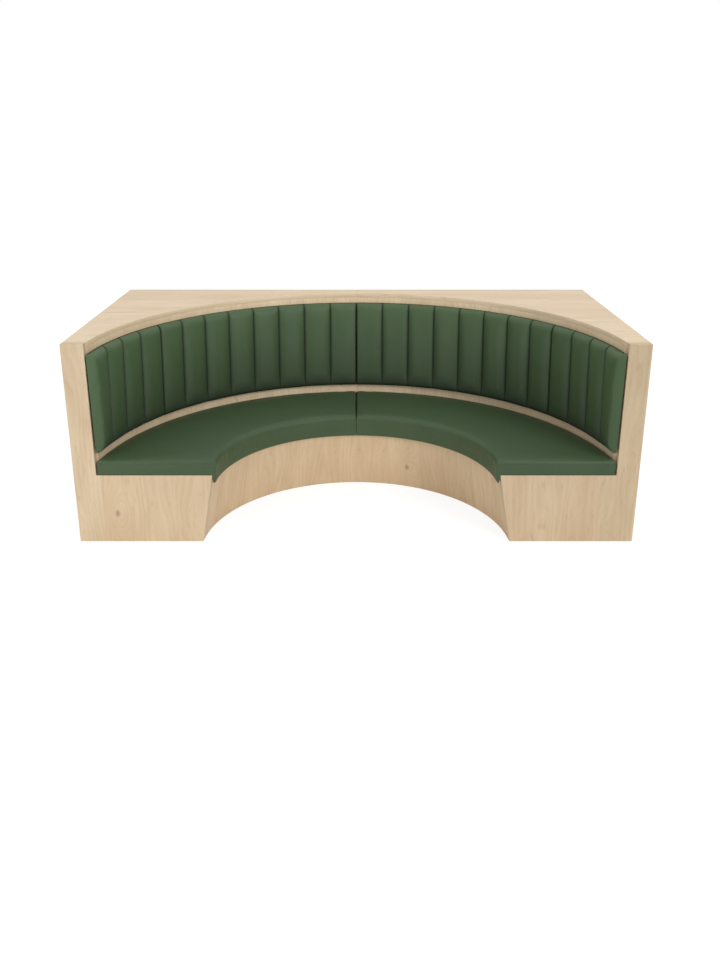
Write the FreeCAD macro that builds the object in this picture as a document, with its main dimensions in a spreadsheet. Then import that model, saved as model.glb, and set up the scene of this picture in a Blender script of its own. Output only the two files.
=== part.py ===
import FreeCAD, Part
import math
import os
import Sketcher

# Half-round upholstered booth bench, delivered as a left and a right module that bolt together.
# Millimetres. X runs along the bench, Y from the open front to the back, Z up.
# The origin is the middle of the footprint, on the floor.

V = FreeCAD.Vector

# Driving dimensions: name, value, what it sets.
SIZES = [
    ("overall_width", 3000, "outside width over both side panels"),
    ("overall_depth", 1460, "front plane to rear face"),
    ("overall_height", 1105, "floor to top board"),
    ("arm_width", 119, "front stile beside the back cushions"),
    ("board_thickness", 25, "side, rear and top boards"),
    ("end_panel_thickness", 38, "front end panels"),
    ("frame_thickness", 18, "upright plywood frames"),
    ("back_ridge_depth", 141, "top board at the middle of the back"),
    ("wall_thickness", 18, "curved back wall"),
    ("wall_lean_angle", 6.32, "lean of the back wall, degrees"),
    ("deck_height", 387, "top of the seat deck"),
    ("deck_thickness", 18, "seat deck"),
    ("plinth_thickness", 18, "plinth panel"),
    ("plinth_slope_angle", 9.77, "slope of the plinth face, degrees"),
    ("seat_centre_ahead", 25, "seat circle centre ahead of the front plane"),
    ("seat_pad_height", 81, "seat cushion above the deck at its edges"),
    ("seat_crown", 6, "rise of the seat cushion inside its edges"),
    ("seat_crown_run", 110, "distance over which the crown rises"),
    ("seat_edge_round", 13, "rounding of the seat cushion's top edge"),
    ("seat_side_draw", 2, "how far the cushion's foot is drawn in"),
    ("seat_reach", 516.5, "back wall to the skirt's lower edge at the middle, at deck level"),
    ("skirt_drop", 42.5, "skirt below the deck top"),
    ("skirt_lean_angle", 3.7, "lean of the skirt and nose, degrees"),
    ("skirt_padding", 5, "padding in front of and below the nosing board"),
    ("nosing_thickness", 10, "curved board in the skirt"),
    ("skirt_gap", 2.4, "back of the skirt to the deck's front edge"),
    ("seat_board_thickness", 12, "plywood base of the seat cushion"),
    ("seat_wall_gap", 4, "seat cushion to back wall"),
    ("cushion_gap", 1.5, "half the gap between neighbouring cushions"),
    ("front_setback", 2, "cushion ends behind the front plane"),
    ("cover_wrap", 10, "padding round the edges of a cushion board"),
    ("back_pad_rise", 128, "deck top to the lower edge of the back cushions"),
    ("back_pad_reveal", 56, "upper edge of the back cushions below the top"),
    ("back_pad_thickness", 49, "back cushion at a channel's crest"),
    ("back_board_thickness", 12, "curved plywood in a back cushion"),
    ("pad_standoff", 7, "back cushion to wall, the room for the hanging clips"),
    ("channel_depth", 12, "crest to seam"),
    ("arm_channel_share", 1.134, "the channel beside the arm against the others, at the wall's top"),
    ("inner_channels", 8, "channels in an inner back cushion"),
    ("outer_channels", 4, "channels in an outer back cushion"),
    ("pad_top_round", 44, "rounding at the top of a back cushion"),
    ("pad_foot_round", 36, "rounding at the foot of a back cushion"),
    ("lightening_radius", 78, "round cut-outs in the frames"),
    ("lightening_inset", 205, "first cut-out from the rear board"),
    ("lightening_pitch", 225, "cut-out to cut-out"),
    ("post_width", 50, "arm post, across the bench"),
    ("post_depth", 60, "arm post, front to back"),
    ("stud_width_angle", 2.6, "stud behind a wall joint, degrees"),
    ("stud_depth", 42, "stud behind a wall joint"),
    ("block_side", 38, "glue block in an inner corner"),
    ("block_length", 130, "glue block"),
    ("bolt_radius", 4, "module connecting bolt"),
    ("bolt_head_radius", 7.5, "head and nut of the connecting bolt"),
    ("bolt_head_height", 5.5, "head and nut of the connecting bolt"),
    ("bolt_inset", 50, "connecting bolts from the rear board and the floor"),
    ("bolt_hole_clearance", 0.5, "bolt in its hole"),
    ("screw_radius", 2.2, "screw shank"),
    ("screw_head_radius", 4.5, "countersunk screw head"),
    ("screw_head_depth", 3, "countersunk screw head"),
    ("screw_length", 45, "rear board screw"),
    ("screw_clearance", 0.3, "screw in its hole"),
    ("peg_radius", 9, "seat locating peg"),
    ("peg_length", 16, "seat locating peg below the seat board"),
    ("peg_clearance", 1, "peg in its deck hole"),
    ("peg_inset", 170, "pegs from the seat board's ends"),
    ("clip_width", 56, "hanging clip"),
    ("clip_gauge", 1.5, "hanging clip sheet"),
    ("clip_back_gap", 0.8, "middle of a flat wall clip to the hollow wall"),
    ("clip_board_gap", 0.1, "middle of a flat cushion clip to the board's round back"),
    ("clip_wall_room", 2.4, "cushion clip's tongue to the hollow wall"),
    ("clip_tongue_gap", 0.3, "tongue to tongue"),
    ("clip_base_length", 21, "screwed part of a hanging clip"),
    ("clip_tongue_length", 14, "hooked part of a hanging clip"),
    ("clip_seat_gap", 0.3, "hanging clip over its hook"),
    ("clip_row_inset", 120, "clip rows from the cushion's ends"),
    ("overrun", 40, "how far cutting shapes run past what they cut"),
]

doc = FreeCAD.newDocument("booth_bench")
sheet = doc.addObject("Spreadsheet::Sheet", "Sizes")
for row, (alias, value, note) in enumerate(SIZES, start=1):
    sheet.set("A%d" % row, note)
    sheet.set("B%d" % row, str(value))
    sheet.setAlias("B%d" % row, alias)
doc.recompute()


class Size:
    """A number that also knows the sheet formula that gives it."""

    def __init__(self, value, formula):
        self.value = float(value)
        self.formula = formula

    def __add__(self, other):
        other = as_size(other)
        return Size(self.value + other.value, "(%s + %s)" % (self.formula, other.formula))

    def __sub__(self, other):
        other = as_size(other)
        return Size(self.value - other.value, "(%s - %s)" % (self.formula, other.formula))

    def __mul__(self, other):
        other = as_size(other)
        return Size(self.value * other.value, "(%s * %s)" % (self.formula, other.formula))

    def __truediv__(self, other):
        other = as_size(other)
        return Size(self.value / other.value, "(%s / %s)" % (self.formula, other.formula))

    def __neg__(self):
        return Size(-self.value, "(0 - %s)" % self.formula)

    def __float__(self):
        return self.value

    __radd__ = __add__
    __rmul__ = __mul__


def as_size(number):
    return number if isinstance(number, Size) else Size(number, repr(number))


def size(alias):
    return Size(sheet.get(alias), "Sizes." + alias)


worked = doc.addObject("Spreadsheet::Sheet", "WorkedOut")
worked_names = []


def work_out(alias, number):
    """Keeps a size that follows from others in a sheet of its own."""
    worked_names.append(alias)
    row = len(worked_names)
    worked.set("A%d" % row, alias.replace("_", " "))
    worked.set("B%d" % row, "=" + number.formula)
    worked.setAlias("B%d" % row, alias)
    return Size(number.value, "WorkedOut." + alias)


def root(number):
    return Size(math.sqrt(number.value), "sqrt(%s)" % number.formula)


def sine(angle):
    return Size(math.sin(math.radians(angle.value)), "sin(%s)" % angle.formula)


def cosine(angle):
    return Size(math.cos(math.radians(angle.value)), "cos(%s)" % angle.formula)


def tangent(angle):
    return Size(math.tan(math.radians(angle.value)), "tan(%s)" % angle.formula)


def arc_cosine(ratio):
    return Size(math.degrees(math.acos(ratio.value)), "(acos(%s) / 1 deg)" % ratio.formula)


ZERO = Size(0, "0")
HALF_TURN = Size(180, "180")
PAST_THE_ARM = Size(110, "110")
LEFT, RIGHT = -1, 1
SIDES = (("left", LEFT), ("right", RIGHT))

# Places that several pieces share.
half_width = size("overall_width") / 2
front = -(size("overall_depth") / 2)
rear = size("overall_depth") / 2
height = size("overall_height")
board = size("board_thickness")
panel_back = front + size("end_panel_thickness")
rear_inside = rear - board
side_inside = half_width - board
arm_inside = half_width - size("arm_width")
top_underside = height - board
deck_top = size("deck_height")
deck_bottom = deck_top - size("deck_thickness")
overrun = size("overrun")
cushion_front = front + size("front_setback")
gap = size("cushion_gap")
back_pad_bottom = deck_top + size("back_pad_rise")
back_pad_top = height - size("back_pad_reveal")

# The wall's top edge runs from arm to arm and leaves the ridge at the back.
wall_sweep = size("overall_depth") - size("back_ridge_depth")
wall_radius = work_out("wall_radius", (arm_inside * arm_inside + wall_sweep * wall_sweep)
                       / (wall_sweep * 2))
wall_centre_top = work_out("wall_centre_top", front + wall_sweep - wall_radius)
wall_back_radius = wall_radius + size("wall_thickness")
lean = tangent(size("wall_lean_angle"))


def wall_centre(level):
    """Y of the wall circle's centre at a level: the whole circle moves back as it rises."""
    return wall_centre_top - (height - level) * lean


# Equal sewn channels from the middle, the last one a little longer up to the arm.
wall_end_angle = arc_cosine((front - wall_centre_top) / wall_radius)
channel_angle = work_out("channel_angle", wall_end_angle / (
    size("inner_channels") + size("outer_channels") - 1 + size("arm_channel_share")))
joint_angle = work_out("joint_angle", channel_angle * size("inner_channels"))

# The skirt hangs in front of the deck, and the plinth slopes out from the deck's edge.
seat_centre = front - size("seat_centre_ahead")
skirt_radius = work_out("skirt_radius", wall_centre(deck_top) + wall_radius
                        - size("seat_reach") - seat_centre)
slope = tangent(size("plinth_slope_angle"))
nosing_face = skirt_radius + size("skirt_padding")
nosing_back = nosing_face + size("nosing_thickness")
deck_front_radius = nosing_back + size("skirt_gap")
plinth_radius = work_out("plinth_radius", deck_front_radius + deck_top * slope)
plinth_back_radius = plinth_radius + size("plinth_thickness") / cosine(size("plinth_slope_angle"))

# The outer frame stands midway between plinth and arm, the middle one halfway to it.
frame_spacing = work_out("frame_spacing", (plinth_radius + arm_inside) / 4)


def bind(thing, **formulas):
    """Binds properties to the sheet; two underscores stand for a dot."""
    for path, number in formulas.items():
        thing.setExpression(path.replace("__", "."), as_size(number).formula)


def place(thing, x=ZERO, y=ZERO, z=ZERO):
    bind(thing, Placement__Base__x=x, Placement__Base__y=y, Placement__Base__z=z)
    return thing


nodes = {}


def keep(label, thing):
    """Gives a finished piece its label."""
    thing.Label = label
    nodes[label] = thing
    return thing


# Outlines, boards and cutting shapes.

def draw(sketch, corners, arcs=None):
    """A closed outline through corners; arcs gives the centre of each side that is an arc."""
    arcs = arcs or {}
    count = len(corners)
    links = []
    for index, corner in enumerate(corners):
        start = V(corner[0].value, corner[1].value, 0)
        following = corners[(index + 1) % count]
        end = V(following[0].value, following[1].value, 0)
        if index not in arcs:
            sketch.addGeometry(Part.LineSegment(start, end), False)
            links.append((1, 2))
            continue
        centre = V(arcs[index][0].value, arcs[index][1].value, 0)
        begin, finish = [math.atan2(p.y - centre.y, p.x - centre.x) for p in (start, end)]
        circle = Part.Circle(centre, V(0, 0, 1), (start - centre).Length)
        forward = (finish - begin) % (2 * math.pi) < math.pi
        span = (begin, finish) if forward else (finish, begin)
        sketch.addGeometry(Part.ArcOfCircle(circle, *span), False)
        links.append((1, 2) if forward else (2, 1))
    for index in range(count):
        after = (index + 1) % count
        sketch.addConstraint(
            Sketcher.Constraint("Coincident", index, links[index][1], after, links[after][0]))
    for index, corner in enumerate(corners):
        for kind, number in (("DistanceX", corner[0]), ("DistanceY", corner[1])):
            name = "corner%d_%s" % (index, kind[-1].lower())
            rule = Sketcher.Constraint(kind, -1, 1, index, links[index][0], number.value)
            sketch.renameConstraint(sketch.addConstraint(rule), name)
            sketch.setExpression("Constraints." + name, number.formula)
    for index, (x, y) in arcs.items():
        reach = corners[index]
        radius = root((reach[0] - x) * (reach[0] - x) + (reach[1] - y) * (reach[1] - y))
        name = "radius%d" % index
        rule = Sketcher.Constraint("Radius", index, radius.value)
        sketch.renameConstraint(sketch.addConstraint(rule), name)
        sketch.setExpression("Constraints." + name, radius.formula)


def plane_of(body, role):
    return [item for item in body.Origin.OriginFeatures if item.Role == role][0]


def plate(name, role, corners, thickness, arcs=None, holes=(), reverse=False):
    """A board padded from an outline; holes are (x, y, radius) in the outline's plane."""
    body = doc.addObject("PartDesign::Body", name)
    sketch = body.newObject("Sketcher::SketchObject", name + "_outline")
    sketch.AttachmentSupport = [(plane_of(body, role), "")]
    sketch.MapMode = "FlatFace"
    draw(sketch, corners, arcs)
    pad = body.newObject("PartDesign::Pad", name + "_pad")
    pad.Profile = sketch
    pad.Reversed = reverse
    bind(pad, Length=thickness)
    for index, hole in enumerate(holes):
        cut_round(body, role, "%s_hole%d" % (name, index), hole)
    return body


def cut_round(body, role, name, hole):
    """A round hole right through a body."""
    sketch = body.newObject("Sketcher::SketchObject", name + "_circle")
    sketch.AttachmentSupport = [(plane_of(body, role), "")]
    sketch.MapMode = "FlatFace"
    x, y, radius = hole
    circle = Part.Circle(V(x.value, y.value, 0), V(0, 0, 1), radius.value)
    sketch.addGeometry(circle, False)
    for kind, number in (("DistanceX", x), ("DistanceY", y)):
        label = "centre_" + kind[-1].lower()
        rule = Sketcher.Constraint(kind, -1, 1, 0, 3, number.value)
        sketch.renameConstraint(sketch.addConstraint(rule), label)
        sketch.setExpression("Constraints." + label, number.formula)
    sketch.renameConstraint(sketch.addConstraint(Sketcher.Constraint("Radius", 0, radius.value)), "r")
    sketch.setExpression("Constraints.r", radius.formula)
    pocket = body.newObject("PartDesign::Pocket", name)
    pocket.Profile = sketch
    pocket.Type = "ThroughAll"
    pocket.Midplane = True
    return pocket


def box(name, low, high):
    """A box between two corners."""
    block = doc.addObject("Part::Box", name)
    bind(block, Length=high[0] - low[0], Width=high[1] - low[1], Height=high[2] - low[2])
    return place(block, *low)


def drum(name, radius, centre, low, high):
    """An upright cylinder."""
    cylinder = doc.addObject("Part::Cylinder", name)
    bind(cylinder, Radius=radius, Height=high - low)
    return place(cylinder, y=centre, z=low)


def plinth_cone(name, floor_radius, low, high):
    """A cone with the plinth's slope, narrower towards the top."""
    cone = doc.addObject("Part::Cone", name)
    bind(cone, Radius1=floor_radius - low * slope, Radius2=floor_radius - high * slope,
         Height=high - low)
    return place(cone, y=seat_centre, z=low)


def raked(name, base, rise):
    """Extrudes a level outline along the wall's lean, to a given rise."""
    solid = doc.addObject("Part::Extrusion", name)
    solid.Base = base
    solid.DirMode = "Custom"
    solid.Solid = True
    solid.Dir = V(0, lean.value, 1)
    bind(solid, Dir__y=lean, LengthFwd=rise / cosine(size("wall_lean_angle")))
    return solid


def raked_drum(name, radius, low, high):
    """The space inside the leaning wall circle."""
    circle = doc.addObject("Part::Circle", name + "_circle")
    bind(circle, Radius=radius)
    place(circle, y=wall_centre(low), z=low)
    return raked(name, circle, high - low)


def raked_sector(name, side, radii, angles, low, high):
    """A ring sector of the leaning wall, between two angles from the middle of the back."""
    centre = wall_centre(low)
    corners = []
    for radius, angle in ((radii[0], angles[0]), (radii[0], angles[1]),
                          (radii[1], angles[1]), (radii[1], angles[0])):
        corners.append((radius * sine(angle) * side, centre + radius * cosine(angle)))
    sketch = doc.addObject("Sketcher::SketchObject", name + "_outline")
    draw(sketch, corners, {0: (ZERO, centre), 2: (ZERO, centre)})
    place(sketch, z=low)
    return raked(name, sketch, high - low)


def cut(name, base, tool):
    result = doc.addObject("Part::Cut", name)
    result.Base = base
    result.Tool = tool
    return result


def join(name, shapes):
    result = doc.addObject("Part::MultiFuse", name)
    result.Shapes = shapes
    return result


def overlap(name, base, tool):
    result = doc.addObject("Part::Common", name)
    result.Base = base
    result.Tool = tool
    return result


def half_box(name, side, x_low, x_high, y_low, y_high, z_low, z_high):
    """A box given by its distances from the middle, on the left or the right."""
    first, last = (x_low, x_high) if side == RIGHT else (-x_high, -x_low)
    return box(name, (first, y_low, z_low), (last, y_high, z_high))


def hidden_feature(name, shape):
    feature = doc.addObject("Part::Feature", name)
    feature.Shape = shape
    return feature


# Cutting shapes that several pieces share.
wall_void = raked_drum("wall_void", wall_radius, deck_top, height + overrun)
wall_back_void = raked_drum("wall_back_void", wall_back_radius, deck_top, height + overrun)
deck_void = drum("deck_void", wall_back_radius, wall_centre(deck_top), deck_bottom, deck_top)
plinth_void = plinth_cone("plinth_void", plinth_back_radius, -overrun, deck_bottom)
plinth_face_void = plinth_cone("plinth_face_void", plinth_radius, -overrun, height)
front_trim = box("front_trim", (-half_width, front - wall_radius, -overrun),
                 (half_width, panel_back, height + overrun))
cushion_trim = box("cushion_trim", (-half_width, front - wall_radius, -overrun),
                   (half_width, cushion_front + size("cover_wrap"), height + overrun))


def end_panel(side, name):
    """L-shaped front panel: arm stile and seat end in one, its inner edge flush with the plinth."""
    reach = deck_front_radius - overrun
    corners = [(half_width * side, ZERO), (half_width * side, height), (arm_inside * side, height),
               (arm_inside * side, deck_top), (reach * side, deck_top), (reach * side, ZERO)]
    panel = plate(name + "_board", "XZ_Plane", corners, size("end_panel_thickness"), reverse=True)
    place(panel, y=front)
    flush = cut(name + "_flush", panel, plinth_face_void)
    return keep(name, cut(name, flush, wall_void))


def side_panel(side, name):
    panel = half_box(name + "_board", side, side_inside, half_width, panel_back, rear_inside,
                     ZERO, top_underside)
    return keep(name, cut(name, panel, screw_holes[side]))


def screw_places(side):
    """Rear board screws: a column for each frame and one for the side panel."""
    half_frame = size("frame_thickness") / 2
    columns = [half_frame, frame_spacing, frame_spacing * 2, half_width - board / 2]
    row_shares = (0.08, 0.36, 0.64, 0.92)
    return [(column * side, top_underside * share) for column in columns for share in row_shares]


def screw_shape(slack):
    """A countersunk screw pointing forwards from the rear face; slack widens it for its hole."""
    shank = size("screw_radius").value + slack
    head = size("screw_head_radius").value + slack
    depth = size("screw_head_depth").value
    length = size("screw_length").value
    back = rear.value
    points = [V(0, back, 0), V(head, back, 0), V(shank, back - depth, 0),
              V(shank, back - length, 0), V(0, back - length - shank, 0)]
    profile = Part.Face(Part.makePolygon(points + points[:1]))
    return profile.revolve(V(0, 0, 0), V(0, 1, 0), 360)


def screws_at(side, slack):
    solid = screw_shape(slack)
    copies = []
    for x, z in screw_places(side):
        copy = solid.copy()
        copy.translate(V(x.value, 0, z.value))
        copies.append(copy)
    return Part.makeCompound(copies)


def rear_panel(side, name):
    panel = half_box(name + "_board", side, ZERO, half_width, rear_inside, rear,
                     ZERO, top_underside)
    return keep(name, cut(name, panel, screw_holes[side]))


def top_board(side, name):
    """Top board with the curved cut-out, its edge leaning with the wall."""
    panel = half_box(name + "_board", side, ZERO, half_width, panel_back, rear,
                     top_underside, height)
    return keep(name, cut(name, panel, wall_void))


def wall_panels(side, word):
    """Two curved panels a side: the joint is under the joint of the back cushions."""
    radii = (wall_radius, wall_back_radius)
    inner = raked_sector("wall_panel_%s_inner" % word, side, radii, (ZERO, joint_angle),
                         deck_top, top_underside)
    keep("wall_panel_%s_inner" % word, inner)
    outer = raked_sector("wall_run_" + word, side, radii, (joint_angle, PAST_THE_ARM),
                         deck_top, top_underside)
    name = "wall_panel_%s_outer" % word
    keep(name, cut(name, outer, front_trim))


def plinth_panel(side, name):
    """Sloping curved panel under the seat's front edge."""
    shell = cut(name + "_shell",
                plinth_cone(name + "_outside", plinth_back_radius, ZERO, deck_bottom),
                plinth_face_void)
    region = half_box(name + "_region", side, ZERO, half_width, panel_back, rear,
                      ZERO, deck_bottom)
    return keep(name, overlap(name, shell, region))


def deck_board(side, name):
    """Seat deck from the plinth face to the back of the wall, with the peg holes."""
    blank = overlap(name + "_blank",
                    drum(name + "_rear_edge", wall_back_radius, wall_centre(deck_top),
                         deck_bottom, deck_top),
                    half_box(name + "_region", side, ZERO, half_width, panel_back, rear,
                             deck_bottom, deck_top))
    nose = drum(name + "_front_edge", deck_front_radius, seat_centre, deck_bottom - overrun,
                deck_top + overrun)
    slack = size("peg_clearance").value
    pegs = hidden_feature(name + "_peg_holes", pegs_at(side, slack, overrun.value))
    return keep(name, cut(name, blank, join(name + "_cuts", [nose, pegs])))


def frame(side, index, name):
    """Upright frame: a raked edge behind the wall, a foot behind the plinth, round cut-outs."""
    corners = [(panel_back, ZERO), (rear_inside, ZERO), (rear_inside, top_underside),
               (panel_back, top_underside)]
    radius = size("lightening_radius")
    first = rear_inside - size("lightening_inset")
    second = first - size("lightening_pitch")
    foot = deck_bottom / 2
    holes = [(first, foot, radius), (second, foot, radius)]
    if index == 2:
        above = (deck_top + top_underside) / 2
        holes += [(first, above - size("lightening_pitch") / 2, radius),
                  (first, above + size("lightening_pitch") / 2, radius)]
    panel = plate(name + "_board", "YZ_Plane", corners, size("frame_thickness"), holes=holes)
    thickness = size("frame_thickness")
    centre = frame_spacing * index if index else thickness / 2
    place(panel, x=centre * side - thickness / 2)
    tool = join(name + "_cuts", [wall_back_void, deck_void, plinth_void, screw_holes[side]]
                + ([bolt_holes] if index == 0 else []))
    return keep(name, cut(name, panel, tool))


def arm_post(side, name):
    """Post behind the arm stile: it carries the deck's corner and the wall's front end."""
    post = half_box(name + "_blank", side, arm_inside, arm_inside + size("post_width"),
                    panel_back, panel_back + size("post_depth"), ZERO, top_underside)
    tool = join(name + "_cuts", [wall_back_void, deck_void])
    return keep(name, cut(name, post, tool))


def wall_stud(side, name):
    """Raked stud behind the joint of two wall panels."""
    spread = size("stud_width_angle") / 2
    stud = raked_sector(name + "_blank", side,
                        (wall_back_radius, wall_back_radius + size("stud_depth")),
                        (joint_angle - spread, joint_angle + spread), ZERO, top_underside)
    return keep(name, cut(name, stud, deck_void))


def corner_blocks(side, name):
    """Glue blocks upright in the corners, and battens under the deck between the uprights."""
    block = size("block_side")
    length = size("block_length")
    level_shares = (0.12, 0.45, 0.82)
    blocks = []
    for corner, y_low in (("rear", rear_inside - block), ("front", panel_back)):
        for index, share in enumerate(level_shares):
            low = top_underside * share
            blocks.append(half_box("%s_%s%d" % (name, corner, index), side, side_inside - block,
                                   side_inside, y_low, y_low + block, low, low + length))
    half_frame = size("frame_thickness") / 2
    plinth_back = plinth_back_radius - (deck_bottom - block) * slope
    runs = [(plinth_back, frame_spacing * 2 - half_frame),
            (frame_spacing * 2 + half_frame, arm_inside)]
    for index, (start, stop) in enumerate(runs):
        blocks.append(half_box("%s_batten%d" % (name, index), side, start, stop,
                               panel_back, panel_back + block, deck_bottom - block, deck_bottom))
    group = doc.addObject("Part::Compound", name)
    group.Links = blocks
    return keep(name, group)


# Connecting bolts through the two middle frames.

def bolt_places():
    """Y and Z of each bolt."""
    inset = size("bolt_inset")
    foot = seat_centre + plinth_back_radius + inset
    level_shares = (0.58, 0.93)
    places = [(foot, inset), (foot, deck_bottom - inset), (rear_inside - inset, inset)]
    places += [(rear_inside - inset, top_underside * share) for share in level_shares]
    return places


def rods_across(radius, low, high):
    """Rods along X at every bolt's place."""
    return [Part.makeCylinder(radius, high - low, V(low, y.value, z.value), V(1, 0, 0))
            for y, z in bolt_places()]


def hexagons_across(low, high):
    """Hexagon heads or nuts along X at every bolt's place."""
    across = size("bolt_head_radius").value
    solids = []
    for y, z in bolt_places():
        turns = [math.radians(60 * step) for step in range(7)]
        ring = [V(low, y.value + across * math.cos(turn), z.value + across * math.sin(turn))
                for turn in turns]
        solids.append(Part.Face(Part.makePolygon(ring)).extrude(V(high - low, 0, 0)))
    return solids


def module_bolts(name):
    face = size("frame_thickness").value
    head = size("bolt_head_height").value
    radius = size("bolt_radius").value
    tip = face + head + radius
    shanks = rods_across(radius, -face, tip)
    heads = hexagons_across(-face - head, -face)
    bolts = [shank.fuse(head_solid) for shank, head_solid in zip(shanks, heads)]
    keep(name, hidden_feature(name, Part.makeCompound(bolts)))


def module_nuts(name):
    face = size("frame_thickness").value
    head = size("bolt_head_height").value
    bore = size("bolt_radius").value + size("screw_clearance").value / 2
    nuts = [nut.cut(rod) for nut, rod in zip(hexagons_across(face, face + head),
                                             rods_across(bore, face - head, face + 2 * head))]
    keep(name, hidden_feature(name, Part.makeCompound(nuts)))


# Cushions. Each level outline is made of lines and arcs, and the levels are lofted.

def ring_outline(level, inner, outer, start, end):
    """Level outline of a right-hand seat piece.

    inner and outer are (radius, centre y); start is its x by the middle, end its y at the front.
    """
    (inner_radius, inner_centre), (outer_radius, outer_centre) = inner, outer

    def on_circle_x(radius, centre, x):
        return V(x, centre + math.sqrt(radius ** 2 - x ** 2), level)

    def on_circle_y(radius, centre, y):
        return V(math.sqrt(radius ** 2 - (y - centre) ** 2), y, level)

    corners = [on_circle_x(inner_radius, inner_centre, start),
               on_circle_x(outer_radius, outer_centre, start),
               on_circle_y(outer_radius, outer_centre, end),
               on_circle_y(inner_radius, inner_centre, end)]
    return Part.Wire([Part.makeLine(corners[0], corners[1]),
                      arc_about(corners[1], corners[2], outer_radius, outer_centre),
                      Part.makeLine(corners[2], corners[3]),
                      arc_about(corners[3], corners[0], inner_radius, inner_centre)])


def arc_about(start, end, radius, centre):
    """Level arc between two points of a circle centred on the middle plane."""
    middle = V((start.x + end.x) / 2, (start.y + end.y) / 2 - centre, 0)
    middle.normalize()
    through = V(middle.x * radius, centre + middle.y * radius, start.z)
    return Part.Arc(start, through, end).toShape()


def mirrored(shape, side):
    return shape if side == RIGHT else shape.mirror(V(0, 0, 0), V(1, 0, 0))


def nose_radius(level):
    """Outer face of the skirt and nose at a level."""
    foot = deck_top.value - size("skirt_drop").value
    return skirt_radius.value - (level - foot) * tangent(size("skirt_lean_angle")).value


def seat_board_outline(level):
    wrap = size("cover_wrap").value
    rear_radius = wall_radius.value - size("seat_wall_gap").value - wrap
    return ring_outline(level, (nosing_face.value, seat_centre.value),
                        (rear_radius, wall_centre(deck_top).value),
                        gap.value + wrap, cushion_front.value + wrap)


def nosing_outline(level):
    wrap = size("cover_wrap").value
    return ring_outline(level, (nosing_face.value, seat_centre.value),
                        (nosing_back.value, seat_centre.value),
                        gap.value + wrap, cushion_front.value + wrap)


def extruded(outline, rise):
    return Part.Face(outline).extrude(V(0, 0, rise))


def seat_board_solid():
    return extruded(seat_board_outline(deck_top.value), size("seat_board_thickness").value)


def nosing_solid():
    foot = deck_top.value - size("skirt_drop").value + size("skirt_padding").value
    return extruded(nosing_outline(foot), deck_top.value - foot)


def seat_pad_solid():
    """Crowned seat cushion with its hanging skirt, hollowed for its boards."""
    deck = deck_top.value
    rise = size("seat_pad_height").value
    edge = size("seat_edge_round").value
    crown = size("seat_crown").value
    run = size("seat_crown_run").value
    draw_in = size("seat_side_draw").value
    top = deck + rise
    corner_share = 0.3
    crown_shares = ((0.35, 0.6), (1.0, 1.0))
    levels = [(deck, draw_in), (deck + rise / 2, 0), (top - edge, 0),
              (top - edge * corner_share, edge * corner_share), (top, edge)]
    levels += [(top + crown * up, edge + run * across) for across, up in crown_shares]
    reach = wall_radius.value - size("seat_wall_gap").value
    outlines = []
    for level, inset in levels:
        nose_inset = inset if level > deck else 0
        outlines.append(ring_outline(level, (nose_radius(level) + nose_inset, seat_centre.value),
                                     (reach - inset, wall_centre(as_size(level)).value),
                                     gap.value + inset, cushion_front.value + inset))
    body = Part.makeLoft(outlines, True, True)
    foot = deck - size("skirt_drop").value
    hems = []
    for level, inset in ((foot, draw_in), (foot + draw_in * 2, 0), (deck, 0)):
        hems.append(ring_outline(level, (nose_radius(level) + inset, seat_centre.value),
                                 (nosing_back.value - inset, seat_centre.value),
                                 gap.value + inset, cushion_front.value + inset))
    skirt = Part.makeLoft(hems, True, True)
    return body.fuse(skirt).cut(seat_board_solid()).cut(nosing_solid()).removeSplitter()


def peg_places():
    """Pegs on the right-hand seat board, midway between its front and rear edges."""
    inset = size("peg_inset").value
    middle = (plinth_radius.value + wall_radius.value) / 2
    centre = (seat_centre.value + wall_centre(deck_top).value) / 2
    by_middle = V(inset, centre + math.sqrt(middle ** 2 - inset ** 2), deck_top.value)
    end = cushion_front.value + inset
    by_arm = V(math.sqrt(middle ** 2 - (end - centre) ** 2), end, deck_top.value)
    return [by_middle, by_arm]


def pegs_at(side, slack, extra):
    """Pegs below the seat board; slack and extra turn them into their holes."""
    length = size("peg_length").value + extra
    radius = size("peg_radius").value + slack
    pegs = [Part.makeCylinder(radius, length, spot, V(0, 0, -1)) for spot in peg_places()]
    if extra:
        pegs += [Part.makeCylinder(radius, extra, spot) for spot in peg_places()]
    return mirrored(Part.makeCompound(pegs), side)


def seat_set(side, word):
    """The seat cushion of one side and the boards and pegs inside it."""
    keep("seat_pad_" + word,
         hidden_feature("seat_pad_" + word, mirrored(seat_pad_solid(), side)))
    keep("seat_board_" + word,
         hidden_feature("seat_board_" + word, mirrored(seat_board_solid(), side)))
    keep("nosing_board_" + word,
         hidden_feature("nosing_board_" + word, mirrored(nosing_solid(), side)))
    keep("seat_pegs_" + word,
         hidden_feature("seat_pegs_" + word, pegs_at(side, 0, 0)))


# Back cushions. Angles are in degrees from the middle of the back.

def wall_point(radius, angle, level):
    centre = wall_centre(as_size(level)).value
    turn = math.radians(angle)
    return V(radius * math.sin(turn), centre + radius * math.cos(turn), level)


def end_angle(radius, level, y):
    """Angle at which a wall circle meets a line parallel to the front."""
    centre = wall_centre(as_size(level)).value
    return math.degrees(math.acos((y - centre) / radius))


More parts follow.
